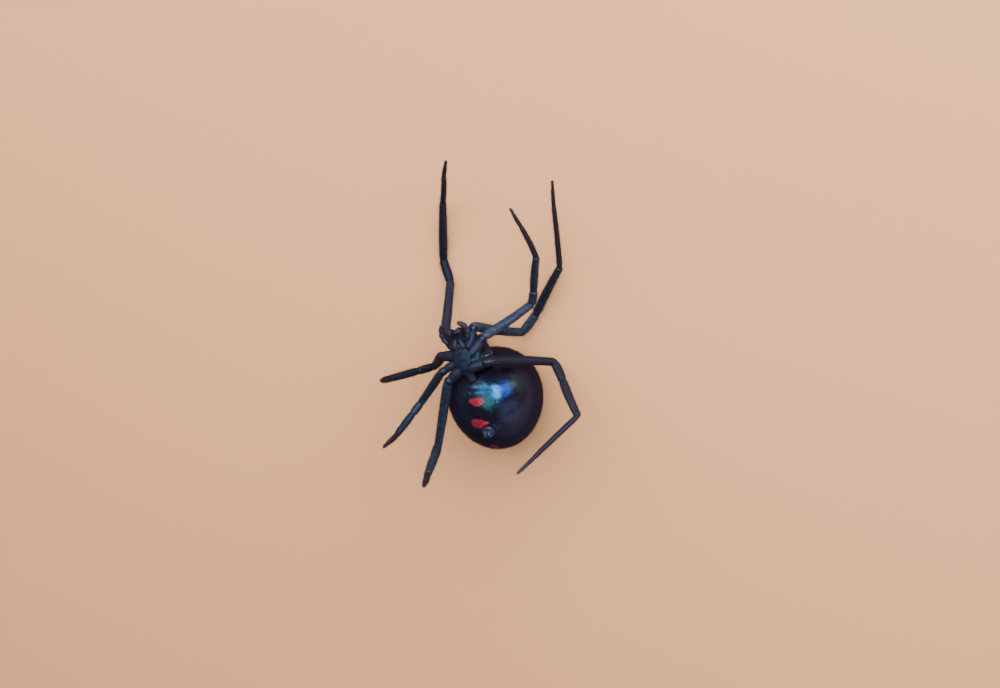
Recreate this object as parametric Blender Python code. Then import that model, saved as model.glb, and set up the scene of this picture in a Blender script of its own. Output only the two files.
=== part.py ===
# Black widow spider, adult female, life size, lying on its back with the belly up.
# +Z is the belly side, +Y the head, +X the spider's left side.
# The origin is the middle of the small flat on which the abdomen rests.

import math

import bmesh
import bpy
import numpy as np

MM = 0.001
GAP = 0.32

# Abdomen: an egg, broadest ahead of its middle
ABDOMEN_LENGTH = 8.75
ABDOMEN_WIDTH = 8.0
ABDOMEN_HEIGHT = 8.16
ABDOMEN_PRESSED = 0.13
ABDOMEN_TAPER = 0.07
ABDOMEN_SIDES = 32
ABDOMEN_RINGS = 20

# Waist between abdomen and cephalothorax
PEDICEL_RADIUS = 0.42
PEDICEL_SHIFT = -0.25
PEDICEL_AHEAD = 2.95

# Cephalothorax: its frame starts at the middle of the sternum's face
STERNUM_CENTRE = (-0.42, 4.9, 7.85)
STERNUM_LENGTH = 1.9
STERNUM_WIDTH = 1.7
STERNUM_RAISED = 0.1
CARAPACE_YAW = 6.0
CARAPACE_NOSE_DOWN = 12.0
CARAPACE_LENGTH = 3.55
CARAPACE_WIDTH = 3.0
CARAPACE_HEIGHT = 1.75
CARAPACE_BEHIND = 1.3
CARAPACE_MARGIN = 0.62
CARAPACE_BELLY = 0.32
STERNUM_DEPTH = 0.55
HEAD_WIDTH = 1.5

# Eyes: two rows of four lenses on the front of the head
EYE_RADIUS = 0.13
EYE_ROWS = ((0.16, 0.42, 1.2), (0.2, 0.54, 1.5))

# Mouthparts, placed (sideways, ahead, out) from the middle of the sternum's face
MAXILLA_PLACES = ((0.3, 0.8, -0.25), (0.3, 1.2, -0.08), (0.3, 1.62, -0.12))
MAXILLA_RADII = (0.22, 0.26, 0.16)
CHELICERA_ROOT = (0.44, 2.3, -0.25)
CHELICERA_AIM = (0.44, 2.5, 0.85)
CHELICERA_LENGTH = 0.85
CHELICERA_RADIUS = 0.28
FANG_TIP = (0.16, 2.2, 0.7)
FANG_RADII = (0.12, 0.09, 0.03)
PALP_RADIUS = 0.25
PALP_TIP_RADIUS = 0.16
PALP_LEFT = (
    (0.97, 1.6, 0.08), (1.2, 2.0, 0.13), (1.22, 2.44, 0.2), (1.04, 2.86, 0.34), (0.76, 3.1, 0.6),
)
PALP_RIGHT = (
    (0.97, 1.6, 0.08), (1.2, 2.0, 0.13), (1.22, 2.44, 0.2), (1.05, 2.85, 0.34), (0.8, 3.1, 0.58),
)

# Spinnerets: a low base with two longer pairs and, between them, a shorter pair, all leaning together
SPINNERET_PLACE = (0.6, -1.52)
SPINNERET_BASE_RADIUS = 0.62
SPINNERET_BASE_HEIGHT = 0.22
SPINNERET_COUNT = 6
SPINNERET_RADII = (0.23, 0.22, 0.13)
SPINNERET_REACH = 0.33
SPINNERET_HEIGHT = 0.4
SPINNERET_LEAN = 0.6
MIDDLE_SPINNERET_REACH = 0.26
MIDDLE_SPINNERET_HEIGHT = 0.32
TAIL_KNOB_BEHIND = 0.52
TAIL_KNOB_HEIGHT = 0.24
TAIL_KNOB_RADII = (0.22, 0.2, 0.12)

# Legs: lengths and radii of femur, patella, tibia, metatarsus and tarsus
TROCHANTER_LENGTH = 0.48
SEGMENTS = ("femur", "patella", "tibia", "metatarsus", "tarsus")
LEG_LENGTHS = {
    1: (6.5, 2.0, 5.6, 6.6, 2.4),
    2: (5.2, 1.5, 3.4, 4.0, 1.9),
    3: (3.6, 1.2, 2.2, 2.9, 1.5),
    4: (6.1, 1.8, 3.8, 5.2, 2.0),
}
LEG_RADII = {
    1: (0.39, 0.38, 0.36, 0.28, 0.25),
    2: (0.38, 0.36, 0.34, 0.28, 0.25),
    3: (0.35, 0.34, 0.32, 0.27, 0.25),
    4: (0.39, 0.39, 0.37, 0.28, 0.25),
}

# Where each coxa leaves the sternum's edge (sideways, forward), and its length with the trochanter
COXA_ROOTS = {1: (0.66, 1.06), 2: (0.9, 0.4), 3: (0.85, -0.22), 4: (0.55, -0.82)}
COXA_DEPTHS = {1: 0.6, 2: 0.5, 3: 0.45, 4: 0.4}
COXA_LENGTHS = {1: 1.65, 2: 1.62, 3: 1.55, 4: 1.6}
COXA_RADII = {1: 0.43, 2: 0.4, 3: 0.32, 4: 0.38}

# Pose of each leg in degrees: heading from +X towards +Y and climb towards the belly side,
# for the coxa and then for each segment
POSE = {
    "left_1": ((74, -30), (-61, -62), (44, -6), (50, 9), (74, 21), (77, 10)),
    "left_2": ((50, -35), (23, -52), (62, 17), (69, 11), (84, 35), (104, 12)),
    "left_3": ((-2, -50), (165, -54), (-148, -60), (-148, -64), (-112, -4), (-100, -1)),
    "left_4": ((12, -11), (-26, -46), (-56, 31), (-55, 35), (-144, 48), (-144, 48)),
    "right_1": ((144, -30), (115, -60), (101, -9), (73, 10), (48, 46), (55, 32)),
    "right_2": ((185, -20), (-144, -47), (176, 52), (164, 63), (35, 61), (35, 61)),
    "right_3": ((206, 9), (-135, -2), (-134, 24), (-133, 29), (27, 77), (27, 77)),
    "right_4": ((218, 9), (-113, -4), (-54, 72), (-10, 74), (25, 63), (25, 63)),
}
LEG_SIDES = 10

# Colour, roughness and metallic value of each finish
FINISHES = {
    "abdomen_cuticle": ((0.012, 0.010, 0.016, 1), 0.22, 0.0),
    "body_cuticle": ((0.018, 0.015, 0.020, 1), 0.3, 0.0),
    "leg_cuticle": ((0.022, 0.016, 0.018, 1), 0.3, 0.0),
    "leg_end_cuticle": ((0.060, 0.028, 0.022, 1), 0.35, 0.0),
}


def clear_scene():
    for old in list(bpy.data.objects):
        bpy.data.objects.remove(old, do_unlink=True)


def finish(name):
    """The named finish as a Principled material, made once."""
    found = bpy.data.materials.get(name)
    if found:
        return found
    colour, roughness, metallic = FINISHES[name]
    made = bpy.data.materials.new(name)
    made.use_nodes = True
    shader = made.node_tree.nodes["Principled BSDF"]
    shader.inputs["Base Color"].default_value = colour
    shader.inputs["Roughness"].default_value = roughness
    shader.inputs["Metallic"].default_value = metallic
    return made


def unit(vector):
    vector = np.asarray(vector, float)
    return vector / np.linalg.norm(vector)


def direction(heading, climb):
    """Unit vector with this heading from +X towards +Y and this climb towards +Z, in degrees."""
    h = math.radians(heading)
    c = math.radians(climb)
    return np.array([math.cos(h) * math.cos(c), math.sin(h) * math.cos(c), math.sin(c)])


def solid(name, points, faces, finish_name):
    """A closed mesh object from points in millimetres, its faces turned outwards."""
    mesh = bpy.data.meshes.new(name)
    mesh.from_pydata([tuple(p) for p in np.asarray(points) * MM], [], faces)
    shape = bmesh.new()
    shape.from_mesh(mesh)
    bmesh.ops.triangulate(shape, faces=shape.faces)
    bmesh.ops.recalc_face_normals(shape, faces=shape.faces)
    shape.to_mesh(mesh)
    shape.free()
    mesh.shade_smooth()
    mesh.set_sharp_from_angle(angle=math.radians(50))
    made = bpy.data.objects.new(name, mesh)
    made.data.materials.append(finish(finish_name))
    bpy.context.scene.collection.objects.link(made)
    return made


def ring_faces(rings, sides):
    """Quads between successive rings, and a fan on the centre point at each end."""
    faces = []
    for i in range(rings - 1):
        for j in range(sides):
            k = (j + 1) % sides
            faces.append((i * sides + j, i * sides + k, (i + 1) * sides + k, (i + 1) * sides + j))
    first = rings * sides
    last = (rings - 1) * sides
    for j in range(sides):
        k = (j + 1) % sides
        faces.append((first, k, j))
        faces.append((first + 1, last + j, last + k))
    return faces


def tube(path, radii, sides, start_plane=None, end_plane=None):
    """Round bar along a path. Each end ring lies in its plane (point, normal), if one is given."""
    path = np.asarray(path, float)
    steps = np.diff(path, axis=0)
    heads = steps / np.linalg.norm(steps, axis=1)[:, None]
    side = unit(np.cross(heads[0], direction(37, 21)))
    rings = []
    for i, centre in enumerate(path):
        before = heads[max(i - 1, 0)]
        after = heads[min(i, len(heads) - 1)]
        along = unit(before + after)
        side = unit(side - (side @ along) * along)
        other = np.cross(along, side)
        turn = 2 * math.pi * np.arange(sides) / sides
        ring = centre + radii[i] * (np.cos(turn)[:, None] * side + np.sin(turn)[:, None] * other)
        rings.append(ring)
    if start_plane:
        rings = lean(rings, heads[0], start_plane, (0, 1, 2))
    if end_plane:
        rings = lean(rings, heads[-1], end_plane, (-1, -2, -3))
    middles = [rings[0].mean(axis=0), rings[-1].mean(axis=0)]
    points = np.vstack(rings + [np.array(middles)])
    return points, ring_faces(len(rings), sides)


def lean(rings, along, plane, order):
    """Slides the end ring along the bar until it lies in the plane, and the next two part of the way."""
    point, normal = plane
    slides = -((rings[order[0]] - point) @ normal) / (along @ normal)
    tilt = slides - slides.mean()
    rings[order[0]] = rings[order[0]] + slides[:, None] * along
    rings[order[1]] = rings[order[1]] + 0.6 * tilt[:, None] * along
    rings[order[2]] = rings[order[2]] + 0.2 * tilt[:, None] * along
    return rings


def union(name, pieces, finish_name):
    """One closed body from overlapping closed pieces, of which only the largest surface is kept."""
    base = pieces[0]
    group = bpy.data.collections.new(name + "_pieces")
    bpy.context.scene.collection.children.link(group)
    for piece in pieces[1:]:
        bpy.context.scene.collection.objects.unlink(piece)
        group.objects.link(piece)
    join = base.modifiers.new("join", "BOOLEAN")
    join.operation = "UNION"
    join.operand_type = "COLLECTION"
    join.collection = group
    join.solver = "EXACT"
    view = bpy.context.evaluated_depsgraph_get()
    joined = bpy.data.meshes.new_from_object(base.evaluated_get(view))
    base.modifiers.clear()
    base.data = joined
    for piece in pieces[1:]:
        bpy.data.objects.remove(piece, do_unlink=True)
    bpy.data.collections.remove(group)
    keep_largest(joined)
    joined.materials.clear()
    joined.materials.append(finish(finish_name))
    base.name = name
    joined.name = name
    return base


def keep_largest(mesh):
    """Drops every closed surface of the mesh but its largest, such as a wall round an inner hollow."""
    shape = bmesh.new()
    shape.from_mesh(mesh)
    left = set(shape.verts)
    islands = []
    while left:
        found = {left.pop()}
        edge = list(found)
        while edge:
            reached = {e.other_vert(v) for v in edge for e in v.link_edges} & left
            left -= reached
            found |= reached
            edge = list(reached)
        islands.append(found)
    islands.sort(key=len)
    for scrap in islands[:-1]:
        bmesh.ops.delete(shape, geom=list(scrap), context="VERTS")
    bmesh.ops.triangulate(shape, faces=shape.faces)
    shape.to_mesh(mesh)
    shape.free()


def abdomen_point(t, turn):
    """Point of the egg: t runs from the front pole (0) to the rear pole (pi), turn round the long axis."""
    centre_z = ABDOMEN_HEIGHT / 2 - ABDOMEN_PRESSED
    swell = np.sin(t) * (1 + ABDOMEN_TAPER * np.cos(t))
    x = ABDOMEN_WIDTH / 2 * swell * np.cos(turn)
    y = ABDOMEN_LENGTH / 2 * np.cos(t)
    z = centre_z + ABDOMEN_HEIGHT / 2 * swell * np.sin(turn)
    return np.stack([x, y + 0 * x, z], axis=-1)


def make_abdomen():
    """The egg, pressed flat where it rests."""
    t = np.linspace(0, math.pi, ABDOMEN_RINGS + 1)[1:-1]
    turn = 2 * math.pi * (np.arange(ABDOMEN_SIDES) + 0.5) / ABDOMEN_SIDES
    rings = abdomen_point(t[:, None], turn[None, :])
    poles = abdomen_point(np.array([0, math.pi]), np.array([0, 0]))
    points = np.vstack([rings.reshape(-1, 3), poles])
    points[:, 2] = np.maximum(points[:, 2], 0)
    return solid("abdomen", points, ring_faces(len(t), ABDOMEN_SIDES), "abdomen_cuticle")


def abdomen_height(x, y):
    """Height of the belly over a place, and the outward direction there."""
    t = math.acos(y / (ABDOMEN_LENGTH / 2))
    swell = math.sin(t) * (1 + ABDOMEN_TAPER * math.cos(t))
    cosine = x / (ABDOMEN_WIDTH / 2 * swell)
    turn = math.acos(cosine)
    point = abdomen_point(np.array(t), np.array(turn))
    across = abdomen_point(np.array(t), np.array(turn + 0.01)) - point
    along = abdomen_point(np.array(t + 0.01), np.array(turn)) - point
    out = unit(np.cross(across, along))
    if out[2] < 0:
        out = -out
    return point, out


def body_frame():
    """Unit vectors of the cephalothorax: to its left, forward, and out of the belly side."""
    yaw = math.radians(CARAPACE_YAW)
    dip = math.radians(CARAPACE_NOSE_DOWN)
    left = np.array([math.cos(yaw), math.sin(yaw), 0])
    level = np.array([-math.sin(yaw), math.cos(yaw), 0])
    forward = level * math.cos(dip) - np.array([0, 0, math.sin(dip)])
    return left, forward, np.cross(left, forward)


def in_body(sideways, ahead, out):
    """Place given from the middle of the sternum's face."""
    left, forward, belly = body_frame()
    return np.array(STERNUM_CENTRE) + sideways * left + ahead * forward + out * belly


def on_side(side, place):
    """The same place on the left side (1) or, mirrored, on the right (-1)."""
    sideways, ahead, out = place
    return in_body(side * sideways, ahead, out)


def carapace_width(s):
    """Half width at s from the rear (0) to the front (1): broad behind the middle, then a narrower head."""
    rear = math.sqrt(max(0.0, 1 - ((s - 0.42) / 0.46) ** 2)) if s < 0.42 else 1.0
    head = HEAD_WIDTH / CARAPACE_WIDTH
    fade = 0.5 - 0.5 * math.cos(math.pi * min(max((s - 0.42) / 0.4, 0), 1))
    front = math.sqrt(max(0.0, 1 - (max(s - 0.86, 0) / 0.17) ** 2))
    return CARAPACE_WIDTH / 2 * rear * (1 + (head - 1) * fade) * front


def make_carapace():
    """Pear-shaped shell: domed on the back, nearly flat on the belly side."""
    stations = (0.0, 0.05, 0.14, 0.27, 0.42, 0.56, 0.7, 0.83, 0.93, 1.0)
    sides = 20
    turn = 2 * math.pi * (np.arange(sides) + 0.5) / sides
    rings = []
    middles = []
    for s in stations:
        ahead = -CARAPACE_BEHIND + s * CARAPACE_LENGTH
        half = carapace_width(s)
        grow = half / (CARAPACE_WIDTH / 2)
        rise = min(1.0, 0.25 + 0.75 * (s / 0.4) ** 0.8)
        back = (CARAPACE_HEIGHT - CARAPACE_MARGIN) * rise * min(1.0, 1.3 * grow ** 0.6)
        belly = CARAPACE_BELLY * min(1.0, 1.2 * grow ** 0.5) * (1 if s < 0.75 else 0.15)
        across = half * np.sign(np.cos(turn)) * np.abs(np.cos(turn)) ** 0.85
        out = np.where(np.sin(turn) > 0, belly * np.abs(np.sin(turn)) ** 0.6, -back * np.abs(np.sin(turn)))
        ring = [in_body(a, ahead, o - CARAPACE_MARGIN) for a, o in zip(across, out)]
        rings.append(np.array(ring))
        middles.append(in_body(0, ahead, -CARAPACE_MARGIN))
    points = np.vstack(rings + [np.array([middles[0], middles[-1]])])
    return solid("carapace", points, ring_faces(len(stations), sides), "body_cuticle")


def make_sternum():
    """Heart-shaped plate, broad in front and pointed behind."""
    sides = 16
    turn = 2 * math.pi * np.arange(sides) / sides
    ahead = STERNUM_LENGTH / 2 * np.cos(turn)
    width = STERNUM_WIDTH / 2 * np.sin(turn) * (1 + 0.25 * np.cos(turn))
    rings = []
    for scale, out in ((1.0, -STERNUM_DEPTH), (1.0, 0.0), (0.8, STERNUM_RAISED)):
        rings.append(np.array([in_body(w * scale, a * scale, out) for w, a in zip(width, ahead)]))
    middles = np.array([in_body(0, 0, -STERNUM_DEPTH), in_body(0, 0, STERNUM_RAISED)])
    points = np.vstack(rings + [middles])
    return solid("sternum", points, ring_faces(len(rings), sides), "body_cuticle")


def ball(name, centre, radius):
    sides = 8
    rings = 5
    t = math.pi * np.arange(1, rings + 1) / (rings + 1)
    turn = 2 * math.pi * np.arange(sides) / sides
    grid = np.stack(
        [
            np.sin(t)[:, None] * np.cos(turn)[None, :],
            np.sin(t)[:, None] * np.sin(turn)[None, :],
            np.cos(t)[:, None] + 0 * turn[None, :],
        ],
        axis=-1,
    )
    points = np.vstack([grid.reshape(-1, 3), [[0, 0, 1], [0, 0, -1]]]) * radius + centre
    return solid(name, points, ring_faces(rings, sides), "body_cuticle")


def eye_places():
    """The front row sits low on the face, the rear row higher and a little back."""
    places = []
    front = CARAPACE_LENGTH - CARAPACE_BEHIND
    for row, (inner, outer, height) in enumerate(EYE_ROWS):
        for sideways in (-outer, -inner, inner, outer):
            bow = 0.5 * sideways ** 2
            places.append((sideways, front - 0.06 - 0.3 * row - bow, -height + 0.12 * bow))
    return places


def coxa(name):
    """Root and outer end of a coxa, and the end of the trochanter beyond it."""
    side, number = name.split("_")
    number = int(number)
    sideways, ahead = COXA_ROOTS[number]
    root = in_body(sideways if side == "left" else -sideways, ahead, -COXA_DEPTHS[number])
    along = direction(*POSE[name][0])
    outer = root + (COXA_LENGTHS[number] - TROCHANTER_LENGTH) * along
    return root, outer, outer + TROCHANTER_LENGTH * along, along


def make_cephalothorax():
    pieces = [make_carapace(), make_sternum(), make_waist()]
    for name in POSE:
        number = int(name[-1])
        root, outer, _, along = coxa(name)
        radius = COXA_RADII[number]
        inner = root - 0.25 * along
        end = outer - GAP / 2 * along
        path = [inner, root, root + 0.5 * (end - root), end - 0.08 * along, end]
        points, faces = tube(path, np.array([0.8, 0.95, 1.0, 0.95, 0.8]) * radius, LEG_SIDES)
        pieces.append(solid("coxa_" + name, points, faces, "body_cuticle"))
    for side in (-1, 1):
        path = [on_side(side, place) for place in MAXILLA_PLACES]
        points, faces = tube(path, MAXILLA_RADII, 8)
        pieces.append(solid("maxilla", points, faces, "body_cuticle"))
    for place in eye_places():
        pieces.append(ball("eye", in_body(*place), EYE_RADIUS))
    return union("cephalothorax", pieces, "body_cuticle")


def make_waist():
    """The narrow stalk from the rear of the carapace to just clear of the abdomen."""
    skin, out = abdomen_height(PEDICEL_SHIFT, PEDICEL_AHEAD)
    foot = skin + (GAP + 0.03) * out
    root = in_body(0, 0.35 - CARAPACE_BEHIND, -0.9 * CARAPACE_MARGIN)
    path = [root + s * (foot - root) for s in (0.0, 0.4, 0.7, 0.85, 1.0)]
    radii = np.array([1.0, 1.0, 0.88, 0.88, 1.0]) * PEDICEL_RADIUS
    points, faces = tube(path, radii, LEG_SIDES, None, (foot, -out))
    return solid("waist", points, faces, "body_cuticle")


def make_chelicera(side, name):
    """A stout jaw with its short fang folded in at the end."""
    top = on_side(side, CHELICERA_ROOT)
    along = unit(on_side(side, CHELICERA_AIM) - top)
    path = [top + s * CHELICERA_LENGTH * along for s in (0.0, 0.12, 0.45, 0.8, 1.0)]
    points, faces = tube(path, np.array([0.75, 1.0, 1.0, 0.85, 0.6]) * CHELICERA_RADIUS, LEG_SIDES)
    base = solid(name, points, faces, "body_cuticle")
    root = path[-1] - 0.08 * along
    tip = on_side(side, FANG_TIP)
    middle = (root + tip) / 2 + 0.06 * along
    points, faces = tube([root, middle, tip], FANG_RADII, 6)
    return union(name, [base, solid("fang", points, faces, "body_cuticle")], "body_cuticle")


def make_palp(side, name, places):
    """A short leg beside the mouth: femur, patella, tibia and tarsus, bent in front of the fangs."""
    joints = [on_side(side, place) for place in places]
    path = []
    radii = []
    for first, last in zip(joints, joints[1:]):
        path += [first, (first + last) / 2]
        radii += [0.88 * PALP_RADIUS, PALP_RADIUS]
    path.append(joints[-1])
    radii.append(PALP_TIP_RADIUS)
    points, faces = tube(path, radii, 8)
    return solid(name, points, faces, "body_cuticle")


def make_spinnerets():
    """A low round base that carries a ring of cones and the tail knob."""
    place, out = abdomen_height(*SPINNERET_PLACE)
    side = unit(np.cross(out, (0, 1, 0)))
    ahead = np.cross(side, out)
    ahead = ahead if ahead[1] > 0 else -ahead
    foot = place + GAP * out
    shoulder = foot + SPINNERET_BASE_HEIGHT / 3 * out
    path = [foot, shoulder, foot + SPINNERET_BASE_HEIGHT * out]
    points, faces = tube(path, np.array([0.95, 1.0, 0.7]) * SPINNERET_BASE_RADIUS, 14)
    pieces = [solid("spinneret_base", points, faces, "abdomen_cuticle")]
    for i in range(SPINNERET_COUNT):
        turn = 2 * math.pi * (i + 0.5) / SPINNERET_COUNT
        is_middle = i in (1, 4)
        reach = MIDDLE_SPINNERET_REACH if is_middle else SPINNERET_REACH
        tall = MIDDLE_SPINNERET_HEIGHT if is_middle else SPINNERET_HEIGHT
        root = shoulder + reach * (math.cos(turn) * side + math.sin(turn) * ahead)
        tip = root + tall * unit(out + SPINNERET_LEAN * (shoulder - root))
        points, faces = tube([root, (root + tip) / 2, tip], SPINNERET_RADII, 7)
        pieces.append(solid("spinneret", points, faces, "abdomen_cuticle"))
    root = shoulder - TAIL_KNOB_BEHIND * ahead
    tip = root + TAIL_KNOB_HEIGHT * out
    points, faces = tube([root, (root + tip) / 2, tip], TAIL_KNOB_RADII, 7)
    pieces.append(solid("tail_knob", points, faces, "abdomen_cuticle"))
    return union("spinnerets", pieces, "abdomen_cuticle")


def swelling(segment, s):
    """Radius along a segment from its root (0) to its end (1), as a share of its largest."""
    ends = 0.12 * (1 - min(s, 1 - s, 0.12) / 0.12) ** 2
    shapes = {
        "femur": 0.9 + 0.1 * math.sin(math.pi * s ** 0.7) - 0.06 * s,
        "patella": 0.92 + 0.08 * math.sin(math.pi * s),
        "tibia": 0.88 + 0.12 * s ** 1.5,
        "metatarsus": 1.0 - 0.05 * s,
        "tarsus": 0.98 - 0.36 * s ** 1.3,
    }
    return shapes[segment] - ends


def leg_joints(name):
    """Ends of the trochanter and of each segment, and the way the coxa points."""
    number = int(name[-1])
    _, outer, hip, along = coxa(name)
    points = [outer, hip]
    for length, pose in zip(LEG_LENGTHS[number], POSE[name][1:]):
        points.append(points[-1] + length * direction(*pose))
    return points, along


def make_leg(name):
    """Five segments end to end, parted by thin cuts that halve the bend at each joint."""
    joints, first = leg_joints(name)
    number = int(name[-1])
    heads = [unit(b - a) for a, b in zip(joints, joints[1:])]
    ends = [joints[0]] + joints[2:]
    normals = [first] + [unit(a + b) for a, b in zip(heads[1:], heads[2:])] + [heads[-1]]
    for i, segment in enumerate(SEGMENTS):
        radius = LEG_RADII[number][i]
        start = ends[i] + GAP / 2 * normals[i]
        end = ends[i + 1] - (GAP / 2 if i < 4 else 0) * normals[i + 1]
        stations = (0.0, 0.07, 0.2, 0.4, 0.6, 0.8, 0.93, 1.0)
        if segment == "femur":
            hip = joints[1]
            path = [start, hip - 0.12 * first, hip + 0.16 * heads[1]]
            stations = (0.12, 0.25, 0.45, 0.65, 0.85, 0.95, 1.0)
            path += [hip + s * (end - hip) for s in stations]
            radii = [0.82, 0.9, 0.92] + [swelling(segment, s) for s in stations]
        else:
            path = [start + s * (end - start) for s in stations]
            radii = [swelling(segment, s) for s in stations]
        end_plane = (end, normals[i + 1]) if i < 4 else None
        points, faces = tube(path, np.array(radii) * radius, LEG_SIDES, (start, normals[i]), end_plane)
        points[:, 2] = np.maximum(points[:, 2], 0)
        colour = "leg_cuticle" if i < 3 else "leg_end_cuticle"
        solid("leg_" + name + "_" + segment, points, faces, colour)


def make_spider():
    clear_scene()
    make_abdomen()
    make_spinnerets()
    make_cephalothorax()
    make_chelicera(1, "chelicera_left")
    make_chelicera(-1, "chelicera_right")
    make_palp(1, "palp_left", PALP_LEFT)
    make_palp(-1, "palp_right", PALP_RIGHT)
    for name in POSE:
        make_leg(name)


make_spider()
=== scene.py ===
# Black widow spider, adult female, lying on its back: skins, hairs, finishes, light and camera.
# All sizes are in millimetres and are turned into metres where a mesh is made.
# +Z is the belly side, +Y the head, +X the spider's left side.
import math

import bmesh
import bpy
import numpy as np
from mathutils import Matrix


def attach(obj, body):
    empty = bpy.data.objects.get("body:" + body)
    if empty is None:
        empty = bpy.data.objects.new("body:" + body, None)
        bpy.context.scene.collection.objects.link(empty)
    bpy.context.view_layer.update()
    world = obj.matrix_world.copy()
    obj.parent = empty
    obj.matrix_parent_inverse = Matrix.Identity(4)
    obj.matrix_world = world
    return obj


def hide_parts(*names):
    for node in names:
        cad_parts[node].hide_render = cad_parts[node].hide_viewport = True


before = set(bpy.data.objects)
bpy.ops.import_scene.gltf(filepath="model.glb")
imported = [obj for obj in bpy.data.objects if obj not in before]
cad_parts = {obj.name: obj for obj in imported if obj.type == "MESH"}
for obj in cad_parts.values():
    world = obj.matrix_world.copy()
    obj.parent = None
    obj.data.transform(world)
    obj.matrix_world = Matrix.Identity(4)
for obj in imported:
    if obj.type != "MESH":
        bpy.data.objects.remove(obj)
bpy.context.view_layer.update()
mm = 0.001
print("frame loaded:", len(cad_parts), "nodes")


# Small vector helpers

def unit(v):  # every row scaled to length one
    v = np.asarray(v, float)
    return v / np.linalg.norm(v, axis=-1, keepdims=True)


def direction(heading, climb):  # unit vector from its heading (from +X towards +Y) and climb, in degrees
    h, c = math.radians(heading), math.radians(climb)
    return np.array([math.cos(h) * math.cos(c), math.sin(h) * math.cos(c), math.sin(c)])


def across(v, axis):  # the part of v square to the axis, scaled to length one
    return unit(v - np.sum(v * axis, axis=-1, keepdims=True) * axis)


def bump(x, centre, width):  # a smooth hill of height one
    return np.exp(-((x - centre) / width) ** 2)


def around(columns):  # evenly spaced angles of a full turn
    return 2 * math.pi * np.arange(columns) / columns


def circles(sides, others, columns):  # unit circles in the planes of two sets of unit vectors
    turn = around(columns)[:, None]
    return np.cos(turn) * sides[..., None, :] + np.sin(turn) * others[..., None, :]


def mapPlace(aroundShare, alongShare, low=0.02, high=0.97):  # where a hair lies on its bake map
    return np.stack([0.02 + 0.95 * aroundShare, low + (high - low) * alongShare], axis=-1)


# Shells: closed surfaces as arrays of points, faces and masks

def closedGrid(rings, first, last, **masks):
    # Quads join each ring of points to the next one, and a fan of triangles closes each end on its own point.
    # A mask is one number, or one for each ring.
    rows, columns = rings.shape[:2]
    i = np.arange(rows - 1)[:, None] * columns
    j = np.arange(columns)
    k = (j + 1) % columns
    quads = np.stack([i + j, i + k, i + columns + k, i + columns + j], axis=-1).reshape(-1, 4)
    pole = rows * columns
    end = pole - columns
    front = np.stack([0 * j + pole, k, j], axis=-1)
    rear = np.stack([0 * j + pole + 1, end + j, end + k], axis=-1)
    fans = np.vstack([front, rear])
    points = np.vstack([rings.reshape(-1, 3), [first], [last]])
    values = {name: value * np.ones(rows) for name, value in masks.items()}
    spread = {name: np.append(np.repeat(value, columns), value[[0, -1]]) for name, value in values.items()}
    return {"points": points, "quads": quads, "fans": fans, "masks": spread, "columns": columns}


def tubeRings(centres, radii, side, columns):
    # Circles of the given radii round the centres, square to the path, measured from a fixed side vector.
    tangents = unit(np.gradient(centres, axis=0))
    sides = across(side, tangents)
    return centres[:, None] + radii[:, None, None] * circles(sides, np.cross(tangents, sides), columns)


def taperedTube(path, radii, side, columns, rows, roundEnd=True, **masks):
    # A path through a few places smoothed by a Catmull-Rom curve, with radii eased between the same places.
    path, radii = np.asarray(path, float), np.asarray(radii, float)
    knots = np.linspace(0, 1, len(path))
    s = np.linspace(0, 1, rows)
    centres = np.stack([smoothThrough(knots, path[:, axis], s) for axis in range(3)], axis=-1)
    width = np.maximum(smoothThrough(knots, radii, s), 0.004)
    if roundEnd:
        for past in ((s - 0.9) / 0.1, (0.06 - s) / 0.06):  # the share of each rounded end that is passed
            width = width * np.sqrt(np.clip(1 - np.maximum(past, 0) ** 2, 0.03, 1))
    rings = tubeRings(centres, width, np.asarray(side, float), columns)
    return closedGrid(rings, centres[0], centres[-1], **masks)


def smoothThrough(knots, values, s):
    # Cubic through the values, whose slope at each is the mean of its neighbours' slopes.
    slope = np.gradient(values, knots)
    i = np.clip(np.searchsorted(knots, s, side="right") - 1, 0, len(knots) - 2)
    step = knots[i + 1] - knots[i]
    t = (s - knots[i]) / step
    return (
        (2 * t ** 3 - 3 * t ** 2 + 1) * values[i]
        + (t ** 3 - 2 * t ** 2 + t) * step * slope[i]
        + (3 * t ** 2 - 2 * t ** 3) * values[i + 1]
        + (t ** 3 - t ** 2) * step * slope[i + 1]
    )


def ellipsoid(centre, axes, half, columns=20, rows=12, **masks):
    # Sphere scaled by its three half sizes along three axes.
    t = math.pi * (np.arange(rows) + 1)[:, None, None] / (rows + 1)
    rim = circles(half[0] * axes[0], half[1] * axes[1], columns)
    top = half[2] * axes[2]
    return closedGrid(centre + np.sin(t) * rim + np.cos(t) * top, centre + top, centre - top, **masks)


def joined(shells):
    # One set of points, faces and masks. A shell without a mask has zeros for it.
    counts = [len(shell["points"]) for shell in shells]
    starts = np.cumsum([0] + counts[:-1])
    whole = {"points": np.vstack([shell["points"] for shell in shells]), "masks": {}}
    for kind in ("quads", "fans"):
        whole[kind] = np.vstack([shell[kind] + start for shell, start in zip(shells, starts)])
    for name in sorted({name for shell in shells for name in shell["masks"]}):
        values = [shell["masks"].get(name, np.zeros(count)) for shell, count in zip(shells, counts)]
        whole["masks"][name] = np.concatenate(values)
    return whole


def newObject(name, data):
    made = bpy.data.objects.new(name, data)
    bpy.context.scene.collection.objects.link(made)
    return made


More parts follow.
